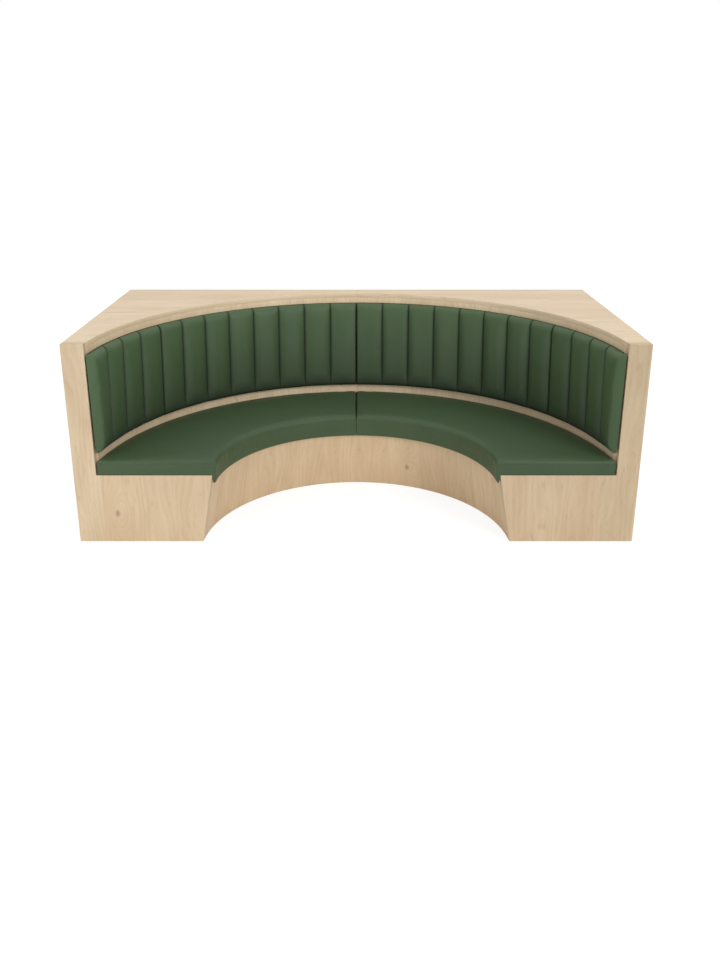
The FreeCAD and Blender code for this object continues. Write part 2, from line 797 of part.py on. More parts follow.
def back_outline(level, fullness, start, channels, to_arm):
    """Level outline of a back cushion: a plain back and one bowed arc for each channel."""
    back = wall_radius.value - size("pad_standoff").value
    crest = back - size("back_pad_thickness").value * fullness
    seam = crest + size("channel_depth").value * fullness
    step = channel_angle.value
    margin = math.degrees(gap.value / wall_radius.value)
    seams = [start + step * index for index in range(channels + 1)]
    seams[0] += margin
    stop = seams[-1] - margin
    back_stop = stop
    if to_arm:
        stop = end_angle(seam, level, cushion_front.value)
        back_stop = end_angle(back, level, cushion_front.value)
    seams[-1] = stop
    edges = []
    for first, last in zip(seams, seams[1:]):
        middle = wall_point(crest, (first + last) / 2, level)
        edges.append(Part.Arc(wall_point(seam, first, level), middle,
                              wall_point(seam, last, level)).toShape())
    edges.append(Part.makeLine(wall_point(seam, stop, level), wall_point(back, back_stop, level)))
    halfway = (back_stop + seams[0]) / 2
    edges.append(Part.Arc(wall_point(back, back_stop, level), wall_point(back, halfway, level),
                          wall_point(back, seams[0], level)).toShape())
    edges.append(Part.makeLine(wall_point(back, seams[0], level),
                               wall_point(seam, seams[0], level)))
    return Part.Wire(edges)


def back_pad_solid(start, channels, to_arm, board_solid):
    """Channelled back cushion, thinner towards its top and bottom, hollowed for its board."""
    low = back_pad_bottom.value
    high = back_pad_top.value
    foot = size("pad_foot_round").value
    top = size("pad_top_round").value
    rounding_shares = ((0.0, 0.42), (0.14, 0.66), (0.42, 0.88), (1.0, 1.0))
    levels = [(low + foot * rise, full) for rise, full in rounding_shares]
    levels += [(high - top * rise, full) for rise, full in reversed(rounding_shares)]
    outlines = [back_outline(level, full, start, channels, to_arm) for level, full in levels]
    return Part.makeLoft(outlines, True, True).cut(board_solid)


def back_board(side, name, angles, to_arm):
    """Curved plywood board inside a back cushion."""
    back = wall_radius - size("pad_standoff")
    wrap = size("cover_wrap")
    front_radius = back - size("back_board_thickness")
    margin = wrap / back * HALF_TURN / math.pi
    last = PAST_THE_ARM if to_arm else angles[1] - margin
    sector = raked_sector(name + "_blank" if to_arm else name, side, (front_radius, back),
                          (angles[0] + margin, last),
                          back_pad_bottom + wrap, back_pad_top - wrap)
    return cut(name, sector, cushion_trim) if to_arm else sector


def clip_profile(base_depth, tongue_depth):
    """Z-shaped strip: (depth, height) corners, base below, tongue above."""
    gauge = size("clip_gauge").value
    base = -size("clip_base_length").value
    tip = size("clip_tongue_length").value
    return [(base_depth, base), (base_depth + gauge, base), (base_depth + gauge, -gauge),
            (tongue_depth + gauge, -gauge), (tongue_depth + gauge, tip), (tongue_depth, tip),
            (tongue_depth, 0), (base_depth, 0)]


def clip_solid(corners):
    """The strip extruded over the clip's width, in its own frame."""
    width = size("clip_width").value
    points = [V(-width / 2, depth, rise) for depth, rise in corners]
    return Part.Face(Part.makePolygon(points + points[:1])).extrude(V(width, 0, 0))


def clip_frame(angle, level):
    """Placement whose Y looks out of the wall and whose Z runs up its lean."""
    turn = math.radians(angle)
    up = V(0, lean.value, 1).normalize()
    out = V(-math.sin(turn), -math.cos(turn), math.cos(turn) * lean.value).normalize()
    across = out.cross(up)
    spot = wall_point(wall_radius.value, angle, level)
    matrix = FreeCAD.Matrix(across.x, out.x, up.x, spot.x, across.y, out.y, up.y, spot.y,
                            across.z, out.z, up.z, spot.z, 0, 0, 0, 1)
    return FreeCAD.Placement(matrix)


def clip_places(start, channels, to_arm):
    """Angle and level of each clip of one cushion, in two rows."""
    step = channel_angle.value
    column_shares = (0.22, 0.72) if to_arm else (0.14, 0.5, 0.86)
    columns = [start + step * channels * share for share in column_shares]
    inset = size("clip_row_inset").value
    rows = (back_pad_bottom.value + inset, back_pad_top.value - inset)
    return [(angle, level) for angle in columns for level in rows]


def clips_at(places, solid):
    copies = []
    for angle, level in places:
        copy = solid.copy()
        copy.Placement = clip_frame(angle, level)
        copies.append(copy)
    return copies


def wall_clip():
    """Screwed to the wall, its tongue up."""
    behind = size("clip_wall_room").value + size("clip_gauge").value
    return clip_solid(clip_profile(size("clip_back_gap").value,
                                   behind + size("clip_tongue_gap").value))


def pad_clip():
    """The same strip turned over, its tongue hooked behind the wall clip's."""
    standoff = size("pad_standoff").value
    base = size("clip_board_gap").value
    tongue = standoff - size("clip_wall_room").value - size("clip_gauge").value
    lift = size("clip_tongue_length").value + size("clip_seat_gap").value
    corners = [(standoff - depth, lift - rise) for depth, rise in clip_profile(base, tongue)]
    return clip_solid(corners)


def back_set(side, word):
    """Both back cushions of one side, with their boards and hanging clips."""
    inner = int(size("inner_channels").value)
    outer = int(size("outer_channels").value)
    joint = joint_angle.value
    wall_clips = []
    for label, start, channels, to_arm in (("inner", 0, inner, False),
                                           ("outer", joint, outer, True)):
        tail = "%s_%s" % (word, label)
        first = joint_angle if to_arm else ZERO
        board_piece = back_board(side, "back_board_" + tail, (first, joint_angle), to_arm)
        keep("back_board_" + tail, board_piece)
        doc.recompute()
        board_solid = mirrored(board_piece.Shape, side)
        solid = back_pad_solid(start, channels, to_arm, board_solid)
        keep("back_pad_" + tail, hidden_feature("back_pad_" + tail, mirrored(solid, side)))
        places = clip_places(start, channels, to_arm)
        group = Part.makeCompound(clips_at(places, pad_clip()))
        keep("pad_clips_" + tail, hidden_feature("pad_clips_" + tail, mirrored(group, side)))
        wall_clips += clips_at(places, wall_clip())
    group = mirrored(Part.makeCompound(wall_clips), side)
    keep("wall_clips_" + word, hidden_feature("wall_clips_" + word, group))


# Assembly.

bolt_slack = size("bolt_radius").value + size("bolt_hole_clearance").value
frame_face = size("frame_thickness").value + overrun.value
bolt_holes = hidden_feature("bolt_holes", Part.makeCompound(
    rods_across(bolt_slack, -frame_face, frame_face)))
screw_holes = {side: hidden_feature("screw_holes_" + word,
                                    screws_at(side, size("screw_clearance").value))
               for word, side in SIDES}

for word, side in SIDES:
    end_panel(side, "end_panel_" + word)
    side_panel(side, "side_panel_" + word)
    rear_panel(side, "rear_panel_" + word)
    top_board(side, "top_board_" + word)
    wall_panels(side, word)
    plinth_panel(side, "plinth_panel_" + word)
    deck_board(side, "deck_board_" + word)
    for index, place_word in enumerate(("centre", "middle", "outer")):
        frame(side, index, "frame_%s_%s" % (word, place_word))
    arm_post(side, "arm_post_" + word)
    wall_stud(side, "wall_stud_" + word)
    corner_blocks(side, "corner_blocks_" + word)
    keep("rear_screws_" + word, hidden_feature("rear_screws_" + word, screws_at(side, 0)))
    seat_set(side, word)
    back_set(side, word)
module_bolts("module_bolts")
module_nuts("module_nuts")

doc.recompute()
for thing in doc.Objects:
    if "Invalid" in thing.State or "Error" in thing.State:
        raise RuntimeError("failed: " + thing.Name)
for label, thing in nodes.items():
    if thing.Shape.isNull() or not thing.Shape.isValid():
        raise RuntimeError("bad shape: " + label)

os.makedirs("parts", exist_ok=True)
for label, thing in nodes.items():
    thing.Shape.exportStep("parts/%s.step" % label)
    print("%-26s %2d solids  %10.1f cm3" % (label, len(thing.Shape.Solids),
                                            thing.Shape.Volume / 1000))
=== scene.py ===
import math

import bmesh
import bpy
from mathutils import Matrix, Vector


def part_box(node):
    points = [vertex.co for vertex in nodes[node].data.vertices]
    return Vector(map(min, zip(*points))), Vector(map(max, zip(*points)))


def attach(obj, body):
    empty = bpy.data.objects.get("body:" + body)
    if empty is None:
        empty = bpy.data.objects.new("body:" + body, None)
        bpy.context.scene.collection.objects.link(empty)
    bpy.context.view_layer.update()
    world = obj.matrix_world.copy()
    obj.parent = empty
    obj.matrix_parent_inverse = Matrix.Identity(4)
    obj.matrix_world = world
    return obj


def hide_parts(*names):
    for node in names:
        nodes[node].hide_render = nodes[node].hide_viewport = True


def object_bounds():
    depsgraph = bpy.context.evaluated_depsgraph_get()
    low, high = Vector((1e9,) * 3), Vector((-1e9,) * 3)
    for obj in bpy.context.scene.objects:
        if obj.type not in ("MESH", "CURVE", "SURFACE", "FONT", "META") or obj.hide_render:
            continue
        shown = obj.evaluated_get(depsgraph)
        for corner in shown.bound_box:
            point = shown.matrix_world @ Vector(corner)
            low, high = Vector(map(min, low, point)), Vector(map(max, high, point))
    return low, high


# Half-round upholstered booth bench: an oak-veneered box with green leatherette cushions.
# Metres. X runs along the bench, Y from the open front to the back, Z up.

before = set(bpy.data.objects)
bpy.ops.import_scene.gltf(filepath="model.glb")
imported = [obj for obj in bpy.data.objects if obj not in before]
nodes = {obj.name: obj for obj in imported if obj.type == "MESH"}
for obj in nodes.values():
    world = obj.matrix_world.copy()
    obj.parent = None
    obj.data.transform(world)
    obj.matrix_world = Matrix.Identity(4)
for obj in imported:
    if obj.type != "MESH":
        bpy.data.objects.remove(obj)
cad_low, cad_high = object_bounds()

MM = 0.001

# The box, and the leaning wall circle that its top edge and ridge give.
HALF_WIDTH = cad_high.x
FRONT = cad_low.y
HEIGHT = cad_high.z
ARM_INSIDE = HALF_WIDTH - 119 * MM
WALL_SWEEP = cad_high.y - cad_low.y - 141 * MM
WALL_RADIUS = (ARM_INSIDE ** 2 + WALL_SWEEP ** 2) / (2 * WALL_SWEEP)
WALL_CENTRE_TOP = FRONT + WALL_SWEEP - WALL_RADIUS
WALL_LEAN = math.tan(math.radians(6.32))

# Cushions. Both stop short of the open front, and of each other at a joint.
DECK_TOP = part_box("deck_board_right")[1].z
CUSHION_FRONT = FRONT + 2 * MM
CUSHION_GAP = 0.7 * MM

# Back cushions: 24 channels round the wall, the two at the arms a little wider.
INNER_CHANNELS = 8
OUTER_CHANNELS = 4
ARM_CHANNEL_SHARE = 1.134
WALL_END = math.acos((FRONT - WALL_CENTRE_TOP) / WALL_RADIUS)
CHANNEL_ANGLE = WALL_END / (INNER_CHANNELS + OUTER_CHANNELS - 1 + ARM_CHANNEL_SHARE)
STANDOFF = 7 * MM
BACK_THICKNESS = 49 * MM
BACK_EDGE = 4 * MM
SEAM_DEPTH = 18 * MM
BACK_LOW, BACK_HIGH = (corner.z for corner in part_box("back_pad_right_inner"))
BACK_TOP_ROUND = 42 * MM
BACK_FOOT_ROUND = 34 * MM
BACK_ARM_FOOT_ROUND = 85 * MM
BACK_ARM_SAG = 4 * MM
BACK_SIDE_ROUND = 8 * MM
BACK_ARM_ROUND = 26 * MM
BACK_BULGE = 6 * MM
BACK_PRESSURE = 3.0
BACK_REACH = 4 * MM

# Seat cushions: a crowned top, and a skirt between a leaning circle and an upright one, both
# round SEAT_CENTRE.
SEAT_CENTRE = FRONT - 25 * MM
SEAT_RISE = 81 * MM
SEAT_CROWN = 6 * MM
SEAT_CROWN_RUN = 110 * MM
SEAT_ROUND = 14 * MM
SEAT_JOINT_ROUND = 7 * MM
SEAT_SHOULDER = 6 * MM
SEAT_SHOULDER_RUN = 42 * MM
SEAT_WALL_GAP = 2 * MM
SEAT_PRESSURE = 2.5
SEAT_REACH = 3 * MM
# The boxed sides, from the rounding down: a fine sewn groove, then a plain drop that tucks in
# at the deck.
SEAT_GROOVE_DROPS = (0, 2 * MM, 4 * MM, 6 * MM)
SEAT_SIDE_INSETS = (0, 1.0 * MM, 0.2 * MM, -0.5 * MM, -0.8 * MM, -0.8 * MM, -0.5 * MM,
                    0.4 * MM, 3 * MM)
SKIRT_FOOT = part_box("seat_pad_right")[0].z
SKIRT_RADIUS = 748 * MM
SKIRT_BACK_RADIUS = 763 * MM
SKIRT_LEAN = math.tan(math.radians(3.7))
SKIRT_HEM = 2.5 * MM


def wall_centre(level):
    """Y of the wall circle's centre: the circle moves back as it rises."""
    return WALL_CENTRE_TOP - (HEIGHT - level) * WALL_LEAN


# Materials.

def colour(code):
    """Linear colour of an sRGB hex code."""
    channels = [int(code[place:place + 2], 16) / 255 for place in (1, 3, 5)]
    linear = [c / 12.92 if c <= 0.04045 else ((c + 0.055) / 1.055) ** 2.4 for c in channels]
    return (*linear, 1.0)


def set_inputs(tree, made, inputs):
    """Sets or links a node's inputs; a node given as an input is linked by its first output."""
    for name, value in inputs.items():
        if isinstance(value, bpy.types.Node):
            value = value.outputs[0]
        if isinstance(value, bpy.types.NodeSocket):
            tree.links.new(value, made.inputs[name])
        else:
            made.inputs[name].default_value = value


def add(tree, kind, inputs=None, **settings):
    """Adds a shader node with its settings and fills its inputs."""
    made = tree.nodes.new("ShaderNode" + kind)
    for name, value in settings.items():
        setattr(made, name, value)
    set_inputs(tree, made, inputs or {})
    return made


# A colour mix: its share is input 0, its colours are inputs 6 and 7, and this is its output.
MIXED = 2


def new_material(name):
    """A material with its node tree, its shader and the place on the object."""
    material = bpy.data.materials.new(name)
    material.use_nodes = True
    tree = material.node_tree
    tree.nodes.clear()
    shader = add(tree, "BsdfPrincipled")
    add(tree, "OutputMaterial", {"Surface": shader})
    return material, tree, shader, add(tree, "TexCoord").outputs["Object"]


def grain_noise(tree, spot, width, length, **inputs):
    """Noise drawn out along the grain; spot is the place across, along and through the leaf."""
    scaled = add(tree, "VectorMath", {0: spot, 1: (1 / width, 1 / length, 1)},
                 operation="MULTIPLY")
    return add(tree, "TexNoise", {"Vector": scaled, "Scale": 1.0, **inputs})


def veneer_axes(tree, axes, along, curve):
    """How far across its leaves, and through them, a place on a veneered panel lies."""
    if curve:
        centre, radius = curve
        behind = add(tree, "Math", {0: axes["Y"], 1: centre}, operation="SUBTRACT")
        turn = add(tree, "Math", {0: axes["X"], 1: behind}, operation="ARCTAN2")
        return add(tree, "Math", {0: turn, 1: radius}, operation="MULTIPLY"), axes["Y"]
    if along == "X":
        # On a top board's narrow edges the veneer is a strip with its grain along the board.
        on_top = add(tree, "Math", {0: axes["Z"], 1: HEIGHT - 1 * MM}, operation="GREATER_THAN")
        return add(tree, "Mix", {0: on_top, 2: axes["Z"], 3: axes["Y"]}), axes["Z"]
    return add(tree, "Math", {0: axes["X"], 1: axes["Y"]}, operation="ADD"), axes["Y"]


def oak_veneer(name, along, pale="#D8C5A6", deep="#B4966E", curve=None, knots=()):
    """Sliced oak veneer, sanded and matt-lacquered.

    It gives the eye pale straw leaves side by side, each a little different, with soft darker
    growth bands, fine dark pores along the grain, a rare small knot and next to no gloss. along
    is the axis the grain follows; curve is the (centre y, radius) that a bent panel's leaves are
    counted round; knots are (across, along) places in metres.
    """
    material, tree, shader, place = new_material(name)
    axes = add(tree, "SeparateXYZ", {0: place}).outputs
    grain = axes[along]
    across, through = veneer_axes(tree, axes, along, curve)

    leaf_width = 190 * MM
    leaves = add(tree, "Math", {0: across, 1: leaf_width}, operation="DIVIDE")
    leaf = add(tree, "Math", {0: leaves}, operation="FLOOR")
    # Two values a leaf, by its number: how dark it is and how warm.
    leaf_tone = add(tree, "TexWhiteNoise", {"W": leaf}, noise_dimensions="1D")
    leaf_warmth = add(tree, "TexWhiteNoise", {
        "W": add(tree, "Math", {0: leaf, 1: 0.37}, operation="ADD")}, noise_dimensions="1D")
    # Each leaf is slid along its grain by up to 7 m, so that none repeats its neighbour.
    shifted = add(tree, "Math", {0: leaf_tone, 1: 7.0, 2: grain}, operation="MULTIPLY_ADD")
    spot = add(tree, "CombineXYZ", {0: across, 1: shifted, 2: through})

    # A slow drift swings the growth bands by up to 220 mm, into long flames.
    drift = grain_noise(tree, spot, 160 * MM, 700 * MM, Detail=1.5)
    bent = add(tree, "Math", {0: drift, 1: 220 * MM, 2: across}, operation="MULTIPLY_ADD")
    knot_mark = 0.0
    for knot_across, knot_along in knots:
        # A knot 20 mm across and 36 mm long; the bands swing round it for 90 mm each way.
        apart = add(tree, "CombineXYZ", {
            0: add(tree, "Math", {0: across, 1: knot_across}, operation="SUBTRACT"),
            1: add(tree, "Math", {0: grain, 1: knot_along}, operation="SUBTRACT")})
        knots_away = add(tree, "VectorMath", {0: apart, 1: (20 * MM, 36 * MM, 1)},
                         operation="DIVIDE")
        reach = add(tree, "VectorMath", {0: knots_away}, operation="LENGTH").outputs["Value"]
        eye = add(tree, "MapRange", {
            "Value": reach, "From Min": 0.25, "From Max": 0.75, "To Min": 1.0, "To Max": 0.0})
        swing = add(tree, "MapRange", {
            "Value": reach, "From Max": 4.5, "To Min": 110 * MM, "To Max": 0.0},
            interpolation_type="SMOOTHSTEP")
        bent = add(tree, "Math", {0: bent, 1: swing}, operation="ADD")
        knot_mark = add(tree, "Math", {0: eye, 1: knot_mark}, operation="MAXIMUM")
    # Growth bands 32 mm apart: the wave repeats every 0.314 of its unit.
    bands = add(tree, "TexWave", {
        "Vector": add(tree, "CombineXYZ", {0: bent}), "Scale": 0.314 / (32 * MM),
        "Distortion": 2.2, "Detail": 3.0, "Detail Scale": 1.4},
        wave_type="BANDS", bands_direction="X")

    # Fibre streaks 6 mm wide and 250 mm long; pores drawn 1.6 mm wide, four times too coarse,
    # because real ones would not show at the picture's scale; brown flecks 8 mm by 70 mm.
    fibre = grain_noise(tree, spot, 6 * MM, 250 * MM, Detail=4.0, Roughness=0.6)
    pores = grain_noise(tree, spot, 1.6 * MM, 40 * MM, Detail=2.0)
    bent_spot = add(tree, "CombineXYZ", {0: bent, 1: shifted, 2: through})
    flecks = grain_noise(tree, bent_spot, 8 * MM, 70 * MM, Detail=3.0)
    pore_mask = add(tree, "MapRange", {"Value": pores, "From Min": 0.60, "From Max": 0.74})
    fleck_mask = add(tree, "MapRange", {"Value": flecks, "From Min": 0.58, "From Max": 0.72})

    # Broad clouds, 85 mm wide and 0.4 m long, keep the bands from looking printed.
    clouds = grain_noise(tree, spot, 85 * MM, 400 * MM, Detail=2.0)
    cloud_mask = add(tree, "MapRange", {"Value": clouds, "From Min": 0.35, "From Max": 0.7})
    streak_mask = add(tree, "MapRange", {"Value": fibre, "From Min": 0.35, "From Max": 0.7})
    band_share = add(tree, "Math", {0: bands.outputs["Fac"], 1: clouds}, operation="MULTIPLY")

    # Each layer of colour over the one before: where it lies, how strongly, and its colour.
    pale, deep = colour(pale), colour(deep)
    layers = [(band_share, 0.36, deep), (streak_mask, 0.14, deep), (cloud_mask, 0.28, deep),
              (leaf_tone, 0.25, deep), (leaf_warmth, 0.16, colour("#DDB795")),
              (fleck_mask, 0.20, colour("#946F4A")), (pore_mask, 0.18, colour("#8F6E48"))]
    if knots:
        layers.append((knot_mark, 0.52, colour("#7A5433")))
    tone = pale
    for where, strength, stain in layers:
        share = add(tree, "Math", {0: where, 1: strength}, operation="MULTIPLY")
        tone = add(tree, "Mix", {0: share, 6: tone, 7: stain}, data_type="RGBA").outputs[MIXED]

    dents = add(tree, "Math", {0: fibre, 1: pore_mask}, operation="SUBTRACT")
    set_inputs(tree, shader, {
        "Base Color": tone,
        "Roughness": add(tree, "MapRange", {"Value": fibre, "To Min": 0.44, "To Max": 0.58}),
        "Specular IOR Level": 0.45,
        "Normal": add(tree, "Bump", {"Strength": 0.12, "Distance": 0.3 * MM, "Height": dents})})
    return material


def plain_wood(name, pale, deep, width):
    """Birch plywood or sawn softwood: soft straight grain, width apart, dry and matt."""
    material, tree, shader, place = new_material(name)
    stretched = add(tree, "Mapping", {0: place, "Scale": (1, 1, 0.08)})
    grain = add(tree, "TexNoise", {
        "Vector": stretched, "Scale": 1 / width, "Detail": 3.0, "Distortion": 0.4})
    tone = add(tree, "Mix", {0: grain, 6: colour(pale), 7: colour(deep)}, data_type="RGBA")
    set_inputs(tree, shader, {
        "Base Color": tone.outputs[MIXED],
        "Roughness": add(tree, "MapRange", {"Value": grain, "To Min": 0.6, "To Max": 0.75}),
        "Normal": add(tree, "Bump", {"Strength": 0.15, "Distance": 0.3 * MM, "Height": grain})})
    return material


def zinc_plate(name):
    """Zinc-plated steel: grey, faintly blotched, dull shine from the pickled surface."""
    material, tree, shader, place = new_material(name)
    blotch = add(tree, "TexNoise", {"Vector": place, "Scale": 1 / (9 * MM), "Detail": 3.0})
    tone = add(tree, "Mix", {0: blotch, 6: colour("#B9BBBB"), 7: colour("#9FA2A3")},
               data_type="RGBA")
    set_inputs(tree, shader, {
        "Base Color": tone.outputs[MIXED],
        "Roughness": add(tree, "MapRange", {"Value": blotch, "To Min": 0.3, "To Max": 0.45}),
        "Metallic": 1.0})
    return material


def nylon(name):
    """Moulded natural nylon: waxy off-white with a very fine orange-peel."""
    material, tree, shader, place = new_material(name)
    peel = add(tree, "TexNoise", {"Vector": place, "Scale": 1 / (1.5 * MM), "Detail": 2.0})
    tone = add(tree, "Mix", {0: peel, 6: colour("#E3DFD2"), 7: colour("#D6D1C2")},
               data_type="RGBA")
    set_inputs(tree, shader, {
        "Base Color": tone.outputs[MIXED], "Roughness": 0.42, "IOR": 1.53,
        "Normal": add(tree, "Bump", {"Strength": 0.1, "Distance": 0.1 * MM, "Height": peel})})
    return material


def leatherette(name):
    """Polyurethane leatherette: a coated cloth, embossed with a fine pebble grain, satin.

    It gives the eye a deep grey-green with a broad soft highlight on each crest, a pebble that
    shows only close up, painted light along the top, and painted shade in the seams, at tucked
    edges and towards the foot of a cushion.
    """
    material, tree, shader, place = new_material(name)
    lift, seam = (
        add(tree, "Attribute", attribute_name=word, attribute_type="GEOMETRY").outputs["Fac"]
        for word in ("lift", "seam"))
    # Pebble cells 2.4 mm across, twice the real ones, so that they show close up.
    pebble = add(tree, "TexVoronoi", {
        "Vector": place, "Scale": 1 / (2.4 * MM), "Smoothness": 0.4, "Randomness": 0.9},
        feature="SMOOTH_F1")
    # Use leaves clouds about 220 mm across.
    handling = add(tree, "TexNoise", {"Vector": place, "Scale": 1 / (220 * MM), "Detail": 3.0})
    cloudy = add(tree, "MapRange", {"Value": handling, "From Min": 0.3, "From Max": 0.7})
    cover = add(tree, "Mix", {0: cloudy, 6: colour("#405634"), 7: colour("#384E2E")},
                data_type="RGBA").outputs[MIXED]
    # Painted light and shade: the cover is painted lighter along the top and darker at the foot,
    # as the lift attribute runs.
    foot, top = (
        add(tree, "Mix", {0: share, 6: cover, 7: colour(code)}, data_type="RGBA").outputs[MIXED]
        for share, code in ((0.6, "#1C2A16"), (0.35, "#577349")))
    tone = add(tree, "Mix", {0: lift, 6: foot, 7: top}, data_type="RGBA").outputs[MIXED]
    # The pebbles' edges get a little painted highlight, and the seams get painted shade, dark and
    # dull.
    for where, strength, stain in ((pebble, 0.25, "#4C6343"), (seam, 0.75, "#0F160D")):
        share = add(tree, "Math", {0: where, 1: strength}, operation="MULTIPLY")
        tone = add(tree, "Mix", {0: share, 6: tone, 7: colour(stain)},
                   data_type="RGBA").outputs[MIXED]
    worn = add(tree, "MapRange", {"Value": handling, "To Min": 0.50, "To Max": 0.60})
    set_inputs(tree, shader, {
        "Base Color": tone, "Specular IOR Level": 0.5,
        "Roughness": add(tree, "Math", {0: seam, 1: 0.4, 2: worn}, operation="MULTIPLY_ADD"),
        "Normal": add(tree, "Bump", {"Strength": 0.22, "Distance": 0.25 * MM, "Height": pebble})})
    return material


# Cushion blocks: a grid in whole steps, thickened downwards, whose points are then put in place.

def active_only(piece):
    bpy.ops.object.select_all(action="DESELECT")
    piece.select_set(True)
    bpy.context.view_layer.objects.active = piece


def grid_block(name, columns, rows, layers):
    """A closed block of columns x rows x layers steps; point coordinates are whole numbers."""
    bpy.ops.object.select_all(action="DESELECT")
    bpy.ops.mesh.primitive_grid_add(x_subdivisions=columns, y_subdivisions=rows, size=1)
    piece = bpy.context.object
    piece.name = name
    piece.data.name = name
    for point in piece.data.vertices:
        point.co.x = round((point.co.x + 0.5) * columns)
        point.co.y = round((point.co.y + 0.5) * rows)
    bpy.ops.object.mode_set(mode="EDIT")
    bpy.ops.mesh.select_all(action="SELECT")
    for step in range(layers):
        bpy.ops.mesh.extrude_region_move(TRANSFORM_OT_translate={"value": (0, 0, -1)})
    bpy.ops.object.mode_set(mode="OBJECT")
    return piece


def drop_strip(piece, rows, layers, steps):
    """Extrudes the underside's first rows further down, as the skirt."""
    level_tolerance = 0.1
    active_only(piece)
    bpy.ops.object.mode_set(mode="EDIT")
    bpy.ops.mesh.select_mode(type="FACE")
    bpy.ops.mesh.select_all(action="DESELECT")
    shell = bmesh.from_edit_mesh(piece.data)
    for face in shell.faces:
        middle = face.calc_center_median()
        face.select = abs(middle.z + layers) < level_tolerance and middle.y < rows
    bmesh.update_edit_mesh(piece.data)
    for step in range(steps):
        bpy.ops.mesh.extrude_region_move(TRANSFORM_OT_translate={"value": (0, 0, -1)})
    bpy.ops.object.mode_set(mode="OBJECT")


def outward(piece):
    """Turns every face outwards."""
    active_only(piece)
    bpy.ops.object.mode_set(mode="EDIT")
    bpy.ops.mesh.select_all(action="SELECT")
    bpy.ops.mesh.normals_make_consistent(inside=False)
    bpy.ops.object.mode_set(mode="OBJECT")
    bpy.ops.object.shade_smooth()


def roll_steps(count, power):
    """Shares from 1, at an edge, to 0, where its rounding ends, evenly round the curve."""
    turns = [math.pi / 2 * step / count for step in range(count + 1)]
    return [math.cos(turn) ** (2 / power) for turn in turns]


def squash_corner(first, second, plan_power):
    """Rounds a corner in plan: two edge shares become shares on one curve."""
    most = max(first, second)
    if most == 0:
        return 0.0, 0.0
    length = (first ** plan_power + second ** plan_power) ** (1 / plan_power)
    return first * most / length, second * most / length


def fullness_at(share, power):
    """How much of the thickness is left at a share of the way out over a rounded edge."""
    return max(0.0, 1 - share ** power) ** (1 / power)


def eased(count, both_ends):
    """Places from 0 to 1, closer together at 0 and, if asked, at 1 too."""
    shares = [step / count for step in range(count + 1)]
    if both_ends:
        return [(1 - math.cos(math.pi * share)) / 2 for share in shares]
    return [1 - math.sin(math.pi / 2 * (1 - share)) for share in shares]


# A stretchy cover, a little larger than its cushion, that settles in 20 frames.
COVER_FRAMES = 20
COVER = {"quality": 5, "mass": 0.5, "tension_stiffness": 25, "compression_stiffness": 25,
         "shear_stiffness": 8, "bending_stiffness": 6.0, "shrink_min": -0.002,
         "use_pressure": True}


def swell(piece, held, pressure, reach):
    """Blows the cover up a little with its seams held, and keeps every point within reach."""
    before = [point.co.copy() for point in piece.data.vertices]
    group = piece.vertex_groups.new(name="held")
    group.add(held, 1.0, "REPLACE")
    cover = piece.modifiers.new("cover", "CLOTH")
    for setting, value in COVER.items():
        setattr(cover.settings, setting, value)
    cover.settings.uniform_pressure_force = pressure
    cover.settings.vertex_group_mass = group.name
    cover.settings.effector_weights.gravity = 0
    cover.point_cache.frame_start = 1
    cover.point_cache.frame_end = COVER_FRAMES
    for step in range(1, COVER_FRAMES + 1):
        bpy.context.scene.frame_set(step)
    active_only(piece)
    bpy.ops.object.modifier_apply(modifier=cover.name)
    bpy.context.scene.frame_set(1)
    for point, start in zip(piece.data.vertices, before):
        move = point.co - start
        if move.length > reach:
            point.co = start + move * (reach / move.length)
    piece.vertex_groups.clear()


def mark(piece, name, shares):
    """Stores a share for each point, for the material."""
    layer = piece.data.attributes.new(name, "FLOAT", "POINT")
    layer.data.foreach_set("value", shares)


def refine(piece):
    """One step of subdivision, applied."""
    smooth = piece.modifiers.new("smooth", "SUBSURF")
    smooth.levels = 1
    smooth.render_levels = 1
    active_only(piece)
    bpy.ops.object.modifier_apply(modifier=smooth.name)


def mirror_image(piece, name):
    """The same cushion for the other side, with its own mesh."""
    twin = piece.copy()
    twin.data = piece.data.copy()
    twin.name = name
    twin.data.name = name
    bpy.context.scene.collection.objects.link(twin)
    twin.data.transform(Matrix.Diagonal((-1, 1, 1, 1)))
    twin.data.flip_normals()
    return twin


# Back cushions, made for the right side.

# How square a rounding is: at 2 it is a quarter circle, above that it keeps nearer the corner.
BACK_POWER = 2.3
ARM_POWER = 3.2
SHARP_PLAN = 8
SOFT_PLAN = 2.5
CHANNEL_POWER = 2.8
# A seam is this shallow at the foot, and full above this share of the height; points past
# SEAM_LINE, from 0 on a crest to 1 in a seam, are sewn down.
SEAM_FOOT_SHARE = 0.35
SEAM_FADE_SHARE = 0.16
SEAM_LINE = 0.999
# Where the cover gets painted shade, at tucked edges, in seams and near the foot, and painted
# light, on the arm's end face.
TUCKED_FULLNESS = 0.14
SEAM_SHADE_START = 0.90
FOOT_SHADE = 0.85
FOOT_SHADE_REACH = 0.18
ARM_PAINTED_LIGHT = 0.45
# Steps of the grid: round an edge, across a channel and up the back.
BACK_ROLL = 7
CHANNEL_STEPS = 16
BACK_ROWS = 44


